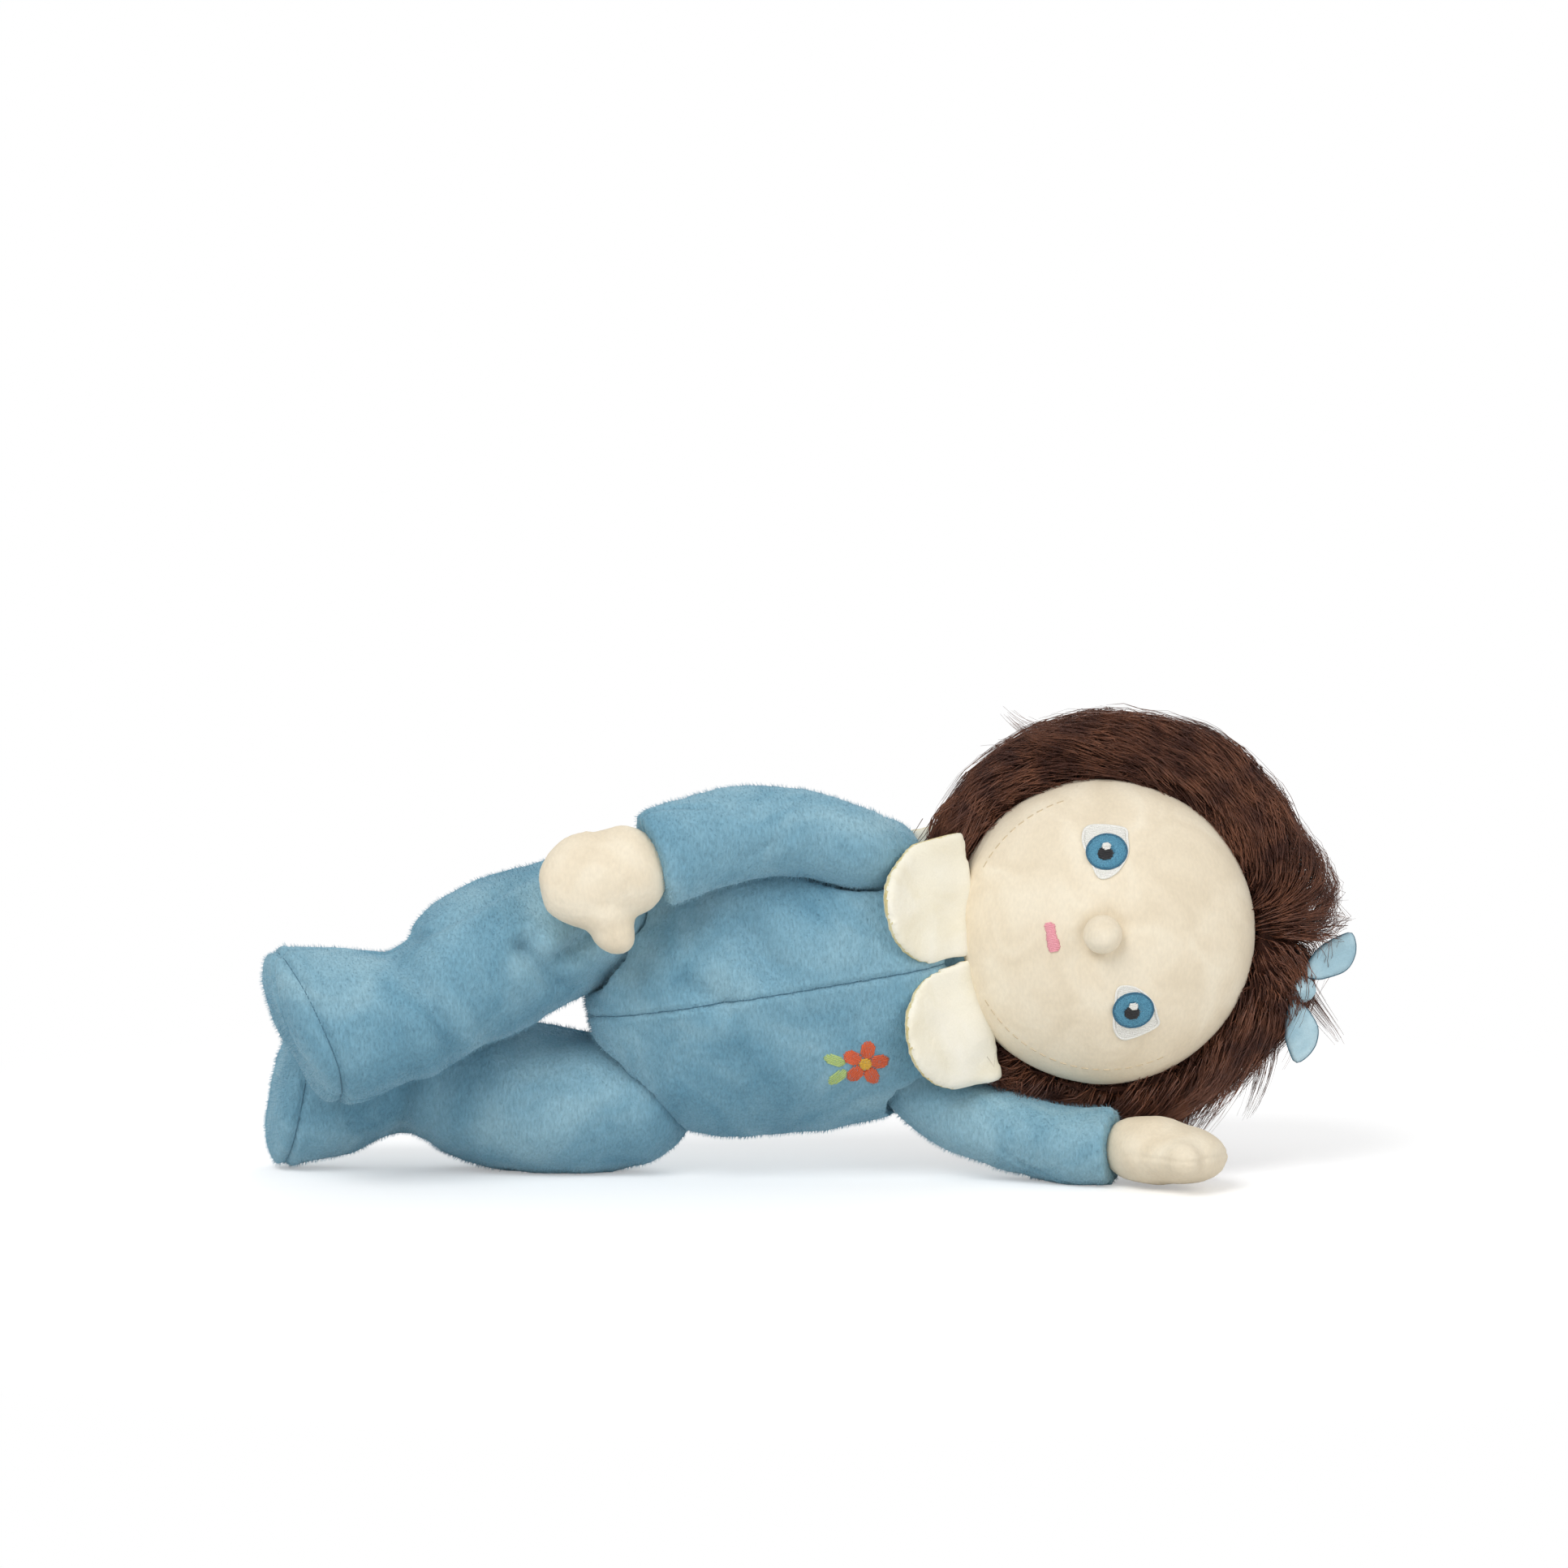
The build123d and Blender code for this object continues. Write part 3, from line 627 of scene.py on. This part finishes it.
def make_leg(side):
    nodes = [f"leg_{side}_{part}" for part in ("front", "back", "stuffing")]
    nodes += [f"foot_{side}_{part}" for part in ("front", "back", "stuffing")] + [f"sole_{side}"]
    ankle = pivot(f"ankle_{side}_bend")
    hip = pivot(f"hip_{side}_{'raise' if side == 'right' else 'swing'}")
    shin = (hip - ankle).normalized()
    fillers = [(ankle + shin * share * MM, (15.4, 15.4, 15.4), NO_TURN) for share in (3.0, 9.0)]
    leg = padded_form(f"romper_leg_{side}", nodes, fillers, voxel=1.5, smooth=9, grow=0.55)
    lumps(leg, 15.0, 1.2, 5 if side == "right" else 9)
    lumps(leg, 6.5, 0.35, 6)
    if side == "right":
        for start, end, depth, width in LEG_FOLDS:
            fold_at(leg, HIP, start, end, depth, width)
    spots = points_of(leg)
    rim = sole_rim(side)
    rim_middle = rim.mean(0)
    sole_way = np.linalg.svd(rim - rim_middle, full_matrices=False)[2][2]
    groove(leg, to_plane(spots, rim_middle, sole_way), 0.9, 0.8)
    crease = to_plane(spots, ankle + shin * 5.0 * MM, shin)
    front = np.clip(((spots - np.array(ankle)) @ np.array(FRONT)) / (12 * MM), 0, 1)
    groove(leg, crease, 2.0, 2.6, front)
    side_way = shin.cross(Vector((0, 1, 0))).normalized()
    edge = np.clip(np.abs((spots - np.array(ankle)) @ np.array(side_way)) / (9 * MM), 0, 1)
    groove(leg, to_plane(spots, ankle, shin.cross(side_way).normalized()), 0.55, 0.55, edge**3)
    lumps(leg, 1.3, 0.16, 7)
    leg.data.materials.append(VELOUR)
    pile = nap(leg, f"nap_leg_{side}", PILE, 91)
    # Painted shade round the sole's seam: a thin dark tube lying in its groove.
    seam = seam_shade_tube(f"seam_shade_sole_{side}", plane_loop(leg, rim_middle, sole_way))
    seam.data.materials.append(SEAM_SHADE)
    for piece in (leg, pile, seam):
        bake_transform(piece)
    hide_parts(*nodes)
    return leg


legs = {side: make_leg(side) for side in SIDES}


# ---- romper: sleeves, and the hands --------------------------------------------
def make_arm(side):
    nodes = [f"sleeve_{side}_{part}" for part in ("front", "back", "stuffing")]
    wrist = pivot(f"wrist_{side}_bend")
    shoulder = pivot(f"shoulder_{side}_{'raise' if side == 'right' else 'swing'}")
    forearm = (middle(f"sleeve_{side}_stuffing") - wrist).normalized()
    sleeve = padded_form(f"romper_sleeve_{side}", nodes, voxel=1.2, smooth=4, grow=0.35)
    lumps(sleeve, 13.0, 0.9, 11 if side == "right" else 14)
    lumps(sleeve, 5.0, 0.25, 12)
    spots = points_of(sleeve)
    bend = (shoulder - wrist).cross(FRONT).normalized()
    low = np.clip(-((spots - np.array(wrist)) @ np.array(bend)) / (6 * MM), -1, 1)
    groove(sleeve, to_plane(spots, wrist, FRONT), 0.4, 0.5, np.clip(low, 0, 1))
    lumps(sleeve, 1.3, 0.14, 13)
    finish_piece(sleeve, VELOUR, f"arm_{side}", nodes)
    finish_piece(nap(sleeve, f"nap_sleeve_{side}", PILE, 92), VELOUR, f"arm_{side}")

    nodes = [f"hand_{side}_{part}" for part in ("front", "back", "stuffing")]
    reach = (middle(f"hand_{side}_stuffing") - wrist).normalized()
    broad = reach.cross(FRONT).normalized() if side == "right" else reach.cross(Vector((0, 0, 1))).normalized()
    flat = broad.cross(reach)
    turn = Matrix((reach, broad, flat)).transposed()
    radii = (9.5, 10.8, 8.2) if side == "right" else (9.5, 9.8, 7.8)
    palm = middle(f"hand_{side}_stuffing")
    fillers = [(wrist, radii, turn), ((wrist + palm) / 2, (10.0, 11.0, 8.0), turn)]
    if side == "right":
        points = np.concatenate([points_of(frame["nodes"][node]) for node in nodes])
        thumb = Vector(points[points[:, 2].argmin()])
        fillers.append((palm.lerp(thumb, 0.45), (6.4, 6.0, 5.6), NO_TURN))
        fillers.append((palm.lerp(thumb, 0.7), (4.6, 4.4, 4.4), NO_TURN))
    hand = padded_form(f"hand_{side}", nodes, fillers, voxel=0.9, smooth=20, grow=0.4)
    lumps(hand, 7.0, 0.25, 15)
    spots = points_of(hand)
    rim = np.clip(((spots - np.array(wrist)) @ np.array(reach)) / (8 * MM), 0, 1)
    groove(hand, to_plane(spots, wrist, flat), 0.2, 0.4, rim)
    lumps(hand, 0.9, 0.08, 16)
    if side == "left":
        spots = points_of(hand)
        spots[:, 2] = np.maximum(spots[:, 2], 0.0001)
        set_points(hand, spots)
    hand.data.materials.append(FELT)
    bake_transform(hand)
    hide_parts(*nodes)


for arm_side in SIDES:
    make_arm(arm_side)

# ---- head ---------------------------------------------------------------------
HEAD_NODES = ["face_panel", "head_back_panel", "head_stuffing"]
EYE_PLACE = (3.1, 18.3)  # of the eyes from the head's middle: up the face, and out
HEAD_MIDDLE = (middle("iris_right") + middle("iris_left")) / 2 - (FACE_UP * EYE_PLACE[0] + FACE_OUT * EYE_PLACE[1]) * MM
face_turn = Matrix((FACE_UP, FACE_RIGHT, FACE_OUT)).transposed()
head = padded_form("head_felt", HEAD_NODES, [(HEAD_MIDDLE, (37.2, 37.2, 19.5), face_turn)], voxel=1.5, smooth=5, grow=0.35)
face_centre = middle("nose_ball")
lumps(head, 20.0, 0.3, 21)
spots = points_of(head)
dent = np.linalg.norm(spots - np.array(face_centre), axis=1)
push(head, -0.9 * MM * np.exp(-(((dent - 5.2 * MM) / (1.6 * MM)) ** 2)))
lumps(head, 0.9, 0.05, 22)
finish_piece(head, FELT, "head", HEAD_NODES)
head_tree = tree_of(head)

nose = frame["nodes"]["nose_ball"]
nose.data.materials.clear()
nose.data.materials.append(FELT)


# ---- embroidery -----------------------------------------------------------------
def on_surface(tree, place, way, lift):
    """The point of a surface under place, seen against way, raised by lift."""
    hit, normal, _, _ = tree.ray_cast(place + way * 30 * MM, -way)
    return None if hit is None else hit + normal * lift


class Cloth_area:
    """A flat drawing area laid on a surface: x and y are its two ways, in millimetres."""

    def __init__(self, tree, origin, across, up, out):
        self.tree = tree
        self.origin = origin
        self.across = across
        self.up = up
        self.out = out

    def point(self, x, y, lift):
        place = self.origin + self.across * x * MM + self.up * y * MM
        return on_surface(self.tree, place, self.out, lift * MM)

    def stitch(self, start, end, radius, lift):
        """One thread that dips into the cloth at both ends."""
        line = []
        for share in (0.0, 0.12, 0.35, 0.65, 0.88, 1.0):
            x = start[0] + (end[0] - start[0]) * share
            y = start[1] + (end[1] - start[1]) * share
            sink = -radius * 1.2 if share in (0.0, 1.0) else 0.0
            spot = self.point(x, y, lift + radius * 0.6 + sink)
            if spot is not None:
                line.append((spot, radius * MM))
        return line


def crossings(outline, y):
    """Where a level line crosses a closed outline."""
    found = []
    for (x0, y0), (x1, y1) in zip(outline, outline[1:] + outline[:1]):
        if (y0 <= y) != (y1 <= y):
            found.append(x0 + (x1 - x0) * (y - y0) / (y1 - y0))
    return sorted(found)


def satin(area, outline, pitch, radius, lift, random):
    """Threads side by side across an outline, from edge to edge along x."""
    lows = [y for _, y in outline]
    lines = []
    y = min(lows) + pitch / 2
    while y < max(lows):
        found = crossings(outline, y)
        for x0, x1 in zip(found[::2], found[1::2]):
            slip = random.uniform(-0.12, 0.12)
            if x1 - x0 > 0.4:
                lines.append(area.stitch((x0 - 0.1 + slip, y), (x1 + 0.1 + slip, y), radius, lift))
        y += pitch
    return lines


def spokes(area, radii, inner, pitch, radius, lift, random):
    """Threads from an inner ellipse to an outer one, all round."""
    count = int(2 * pi * (radii[0] + radii[1]) / 2 / pitch)
    lines = []
    for i in range(count):
        turn = 2 * pi * i / count
        start = inner * random.uniform(0.85, 1.1)
        reach = random.uniform(0.96, 1.04)
        lines.append(
            area.stitch(
                (radii[0] * start * cos(turn), radii[1] * start * sin(turn)),
                (radii[0] * reach * cos(turn + 0.05), radii[1] * reach * sin(turn + 0.05)),
                radius, lift,
            )
        )
    return lines


def ellipse(x, y, radius_x, radius_y, count=40):
    return [(x + radius_x * cos(2 * pi * i / count), y + radius_y * sin(2 * pi * i / count)) for i in range(count)]


def border(area, outline, radius, lift):
    """A thread laid along a closed outline."""
    places = [area.point(x, y, lift) for x, y in outline + outline[:2]]
    return [(spot, radius * MM) for spot in places if spot is not None]


def rounded(corners, count=7):
    """A closed outline through corners, smoothed as a spline."""
    outline = []
    size = len(corners)
    for i in range(size):
        p0, p1, p2, p3 = (Vector(corners[(i + k - 1) % size]) for k in range(4))
        for step in range(count):
            t = step / count
            outline.append(tuple(0.5 * (2 * p1 + (p2 - p0) * t + (2 * p0 - 5 * p1 + 4 * p2 - p3) * t * t
                                        + (3 * p1 - p0 - 3 * p2 + p3) * t**3)))
    return outline


# The white patch of the right eye, with its two corners on the chin's side.
EYE_PATCH = (
    (-2.7, 6.8), (5.0, 5.0), (5.5, 2.4), (4.6, -1.6), (1.2, -5.2), (-2.7, -5.8), (-4.1, -1.6), (-5.1, 3.9),
)
IRIS_RADII = (4.8, 4.1)


def make_eye(side):
    random = Random(30 if side == "right" else 31)
    area = Cloth_area(head_tree, middle(f"iris_{side}"), FACE_UP, FACE_RIGHT, FACE_OUT)
    corners = [(x, y if side == "right" else -y) for x, y in EYE_PATCH]
    patch = rounded(corners)
    white = tubes(f"eye_white_stitches_{side}", satin(area, patch, 0.42, 0.26, 0.12, random) + [border(area, patch, 0.34, 0.25)])
    finish_piece(white, WHITE_THREAD, "head", [f"eye_white_{side}"])
    iris = tubes(f"iris_stitches_{side}", spokes(area, IRIS_RADII, 0.42, 0.40, 0.24, 0.38, random)
                 + satin(area, ellipse(0, 0, 3.6, 3.1), 0.40, 0.22, 0.36, random))
    finish_piece(iris, BLUE_THREAD, "head", [f"iris_{side}"])
    ring = tubes(f"iris_ring_{side}", [border(area, ellipse(0, 0, *IRIS_RADII), 0.3, 0.5)])
    finish_piece(ring, DARK_BLUE_THREAD, "head")
    pupil = tubes(f"pupil_stitches_{side}", satin(area, ellipse(-0.4, -0.5, 1.7, 1.45), 0.36, 0.24, 0.78, random))
    finish_piece(pupil, BLACK_THREAD, "head", [f"pupil_{side}"])
    shine = tubes(f"highlight_stitches_{side}", satin(area, ellipse(0.1, 1.1, 0.9, 0.8), 0.32, 0.22, 0.95, random))
    finish_piece(shine, WHITE_THREAD, "head", [f"highlight_{side}"])


for eye_side in SIDES:
    make_eye(eye_side)

mouth_area = Cloth_area(head_tree, middle("mouth_stitch"), FACE_UP, FACE_RIGHT, FACE_OUT)
mouth_outline = rounded(((-1.0, 3.3), (0.9, 3.2), (1.0, 0.6), (1.5, -2.0), (0.9, -3.3), (-0.9, -3.2), (-1.1, -0.6), (-0.9, 1.5)))
mouth = tubes("mouth_stitches", satin(mouth_area, mouth_outline, 0.42, 0.26, 0.05, Random(33)))
finish_piece(mouth, PINK_THREAD, "head", ["mouth_stitch"])


def make_top_stitch():
    """Dashes of thread just inside the face's sewn edge."""
    area = Cloth_area(head_tree, HEAD_MIDDLE, FACE_UP, FACE_RIGHT, FACE_OUT)
    lines = []
    edge = 33.6
    for start, end in ((98, 140), (200, 285)):
        turn = start
        while turn < end:
            a, b = radians(turn), radians(turn + 3.0)
            lines.append(area.stitch((edge * cos(a), edge * sin(a)), (edge * cos(b), edge * sin(b)), 0.16, -0.05))
            turn += 4.6
    stitches = tubes("face_top_stitch", [line for line in lines if len(line) > 2])
    finish_piece(stitches, CREAM_THREAD, "head")


make_top_stitch()


# ---- chest embroidery: a small flower -------------------------------------------
def make_flower():
    tree = tree_of(torso)
    random = Random(40)
    centre = middle("motif_centre")
    petals = []
    petal_at, petals_count = 3.5, 5
    for i in range(petals_count):
        turn = 2 * pi * i / petals_count
        across = UP_BODY * cos(turn) + RIGHT_BODY * sin(turn)
        area = Cloth_area(tree, centre + across * petal_at * MM, across, FRONT.cross(across), FRONT)
        petals += satin(area, ellipse(0, 0, 2.2, 1.7), 0.42, 0.25, 0.0, random)
    finish_piece(tubes("flower_petals", petals), ORANGE_THREAD, "torso", ["motif_petals"])
    area = Cloth_area(tree, centre, UP_BODY, RIGHT_BODY, FRONT)
    dot = satin(area, ellipse(0, 0, 1.4, 1.4), 0.40, 0.26, 0.1, random)
    finish_piece(tubes("flower_centre", dot), YELLOW_THREAD, "torso", ["motif_centre"])
    leaves = []
    for way in (1, -1):
        across = (UP_BODY * -1 + RIGHT_BODY * way * 0.55).normalized()
        area = Cloth_area(tree, centre + UP_BODY * -7.2 * MM + RIGHT_BODY * way * 2.2 * MM, across, FRONT.cross(across), FRONT)
        leaves += satin(area, ellipse(0, 0, 2.6, 1.3), 0.42, 0.25, 0.0, random)
    finish_piece(tubes("flower_leaves", leaves), GREEN_THREAD, "torso", ["motif_leaves"])


make_flower()


# ---- collar ----------------------------------------------------------------------
def make_lobe(face, side):
    node = f"collar_{face}_{side}"
    lobe = padded_form(f"collar_lobe_{face}_{side}", [node], voxel=0.8, smooth=6, grow=0.45)
    spots = points_of(lobe)
    along = (spots - np.array(pivot("neck_nod"))) @ np.array(UP_BODY)
    tuck = np.clip((along + 5.0 * MM) / (4.0 * MM), 0, 1)
    inward = np.array(UP_BODY) * 8.0 * MM + np.array(BACK if face == "front" else FRONT) * 5.0 * MM
    set_points(lobe, spots + inward[None, :] * tuck[:, None])
    lumps(lobe, 9.0, 0.7, 50 if side == "right" else 53)
    lumps(lobe, 1.0, 0.08, 51)
    body = f"collar_{side}" if face == "front" else "torso"
    finish_piece(lobe, COLLAR, body, [node])
    spots = points_of(lobe)
    thin_way = np.linalg.svd(spots - spots.mean(0), full_matrices=False)[2][2]
    lobe.data.materials.append(COLLAR_EDGE)
    for polygon in lobe.data.polygons:
        if abs(polygon.normal.dot(Vector(thin_way))) < 0.3:
            polygon.material_index = 1


for lobe_face in ("front", "back"):
    for lobe_side in SIDES:
        make_lobe(lobe_face, lobe_side)


# ---- bow ---------------------------------------------------------------------------
def make_bow():
    knot_middle = middle("bow_knot")
    for side in SIDES:
        node = f"bow_wing_{side}"
        wing = padded_form(f"bow_{side}", [node], voxel=0.6, smooth=5, grow=0.35)
        along = (middle(node) - knot_middle).normalized()
        spots = points_of(wing)
        near = np.linalg.norm(spots - np.array(knot_middle), axis=1)
        fold = np.abs((spots - np.array(knot_middle)) @ np.array(along.cross(FRONT).normalized()))
        groove(wing, fold, 0.6, 1.2, np.clip(1 - near / (14 * MM), 0, 1))
        lumps(wing, 5.0, 0.4, 60)
        finish_piece(wing, BOW_CLOTH, "bow", [node])
        spots = points_of(wing)
        thin_way = np.linalg.svd(spots - spots.mean(0), full_matrices=False)[2][2]
        # Painted shade round each wing's edge: a thin dark tube all along its outline.
        edge = seam_shade_tube(f"bow_edge_shade_{side}", plane_loop(wing, spots.mean(0), thin_way, 0.8), 0.3)
        finish_piece(edge, SEAM_SHADE, "bow")
    knot = padded_form("bow_band", ["bow_knot"], voxel=0.5, smooth=2, grow=0.2)
    lumps(knot, 2.0, 0.35, 62)
    finish_piece(knot, BOW_CLOTH, "bow", ["bow_knot"])


make_bow()

# ---- hair ----------------------------------------------------------------------------
wig = padded_form("hair_base", ["hair_wig"], voxel=1.8, smooth=3, grow=-0.9)
lumps(wig, 7.0, 1.6, 70)
lumps(wig, 2.0, 0.5, 71)
finish_piece(wig, SCALP, "head", ["hair_wig"])
wig_tree = tree_of(wig)

PARTING = radians(-12.0)  # where the hair parts, round the face from the crown
HAIR_STEPS = 7


def hair_flow(place):
    """The way the hair is combed at a place: both ways round from the parting, and down where it hangs."""
    offset = place - HEAD_MIDDLE
    x, y = offset.dot(FACE_UP), offset.dot(FACE_RIGHT)
    turn = atan2(y, x) - PARTING
    round_way = (FACE_RIGHT * x - FACE_UP * y).normalized()
    outward = (FACE_UP * x + FACE_RIGHT * y).normalized()
    swing = max(-1.0, min(1.0, sin(turn) * 2.2))
    if abs(turn) > pi / 2:
        swing = 1.0 if turn > 0 else -1.0
    loose = 1.0 - abs(swing)
    flow = round_way * swing + outward * (0.22 + 0.8 * loose)
    if turn < 0:
        flow += Vector((0, 0, -0.75))
    return flow.normalized()


def strand(root, normal, random, length):
    """One fibre: out of the scalp, then combed along it, with its lock's own wander."""
    lock = root / (7.0 * MM)
    wander = noise.noise_vector(lock) * 0.55
    line = []
    place = root.copy()
    step = length / HAIR_STEPS
    lift = random.uniform(0.4, 2.6) * MM
    width = random.uniform(0.09, 0.17) * MM
    own = Vector([random.uniform(-0.12, 0.12) for _ in range(3)])
    for i in range(HAIR_STEPS + 1):
        share = i / HAIR_STEPS
        line.append((place.copy(), width * (1.0 - 0.85 * share)))
        way = hair_flow(place) + wander + own
        if i == 0:
            way = way * 0.5 + normal * 0.9
        near, out, _, _ = wig_tree.find_nearest(place)
        height = (place - near).dot(out)
        way += out * ((lift - height) / (4.0 * MM)) * 0.6
        way.z -= 0.25 * share
        place = place + way.normalized() * step
        if place.z < 0.6 * MM:
            place.z = 0.6 * MM
    return line


def lock(root, length, count, droop, random):
    """A loose lock of hair: fibres that leave the wig together and meet at the tip."""
    steps = 12
    place = root.copy()
    way = hair_flow(root)
    centre = []
    for i in range(steps + 1):
        centre.append(place.copy())
        curl = noise.noise_vector(place / (13.0 * MM) + Vector((3.1, 0, droop)))
        way = (way + curl * 0.45 + Vector((0, -0.03, -droop))).normalized()
        place = place + way * length / steps
        place.z = max(place.z, 1.2 * MM)
    lines = []
    for _ in range(count):
        spread = Vector([random.gauss(0, 1.0) for _ in range(3)]) * 2.3 * MM
        reach = random.uniform(0.35, 1.0)
        line = []
        for i in range(int(steps * reach) + 1):
            share = i / steps
            spot = centre[i] + spread * (1.0 - 0.6 * share)
            spot.z = max(spot.z, 0.8 * MM)
            line.append((spot, random.uniform(0.10, 0.13) * MM * (1.0 - 0.8 * share / reach)))
        if len(line) > 3:
            lines.append(line)
    return lines


def make_locks(seed):
    """Locks that hang from the lower side of the wig, and wisps that stand off its upper side."""
    random = Random(seed)
    lines = []
    for turn in np.linspace(-82, -15, 28):
        angle = radians(turn + random.uniform(-2, 2))
        out = FACE_UP * cos(angle) + FACE_RIGHT * sin(angle)
        root = HEAD_MIDDLE + out * 42.0 * MM - FACE_OUT * random.uniform(-1.0, 12.0) * MM
        lines += lock(root, random.uniform(18, 38) * MM, 80, 0.14, random)
    for turn in np.linspace(75, 150, 12):
        angle = radians(turn + random.uniform(-3, 3))
        out = FACE_UP * cos(angle) + FACE_RIGHT * sin(angle)
        root = HEAD_MIDDLE + out * 44.0 * MM - FACE_OUT * random.uniform(0.0, 10.0) * MM
        lines += lock(root, random.uniform(22, 32) * MM, 60, 0.04, random)
    finish_piece(tubes("hair_locks", lines, sides=3), HAIR, "head")


def make_hair(count, pieces, seed):
    random = Random(seed)
    graph_mesh = wig.data
    polygons = [p for p in graph_mesh.polygons]
    weights = np.cumsum([p.area for p in polygons])
    total = weights[-1]
    lines = []
    face_edge = 36.5 * MM
    while len(lines) < count:
        polygon = polygons[int(np.searchsorted(weights, random.random() * total))]
        root = Vector(polygon.center) + Vector([random.uniform(-0.5, 0.5) * MM for _ in range(3)])
        offset = root - HEAD_MIDDLE
        flat = offset - FACE_OUT * offset.dot(FACE_OUT)
        if flat.length < face_edge and offset.dot(FACE_OUT) > -8 * MM:
            continue
        if root.z < 2.5 * MM:
            continue
        length = random.uniform(15.0, 34.0) * MM
        lines.append(strand(root, polygon.normal, random, length))
    share = (len(lines) + pieces - 1) // pieces
    for i in range(pieces):
        tuft = tubes(f"hair_strands_{i + 1}", lines[i * share:(i + 1) * share], sides=3)
        finish_piece(tuft, HAIR, "head")


make_hair(24000, 6, 80)
make_locks(81)
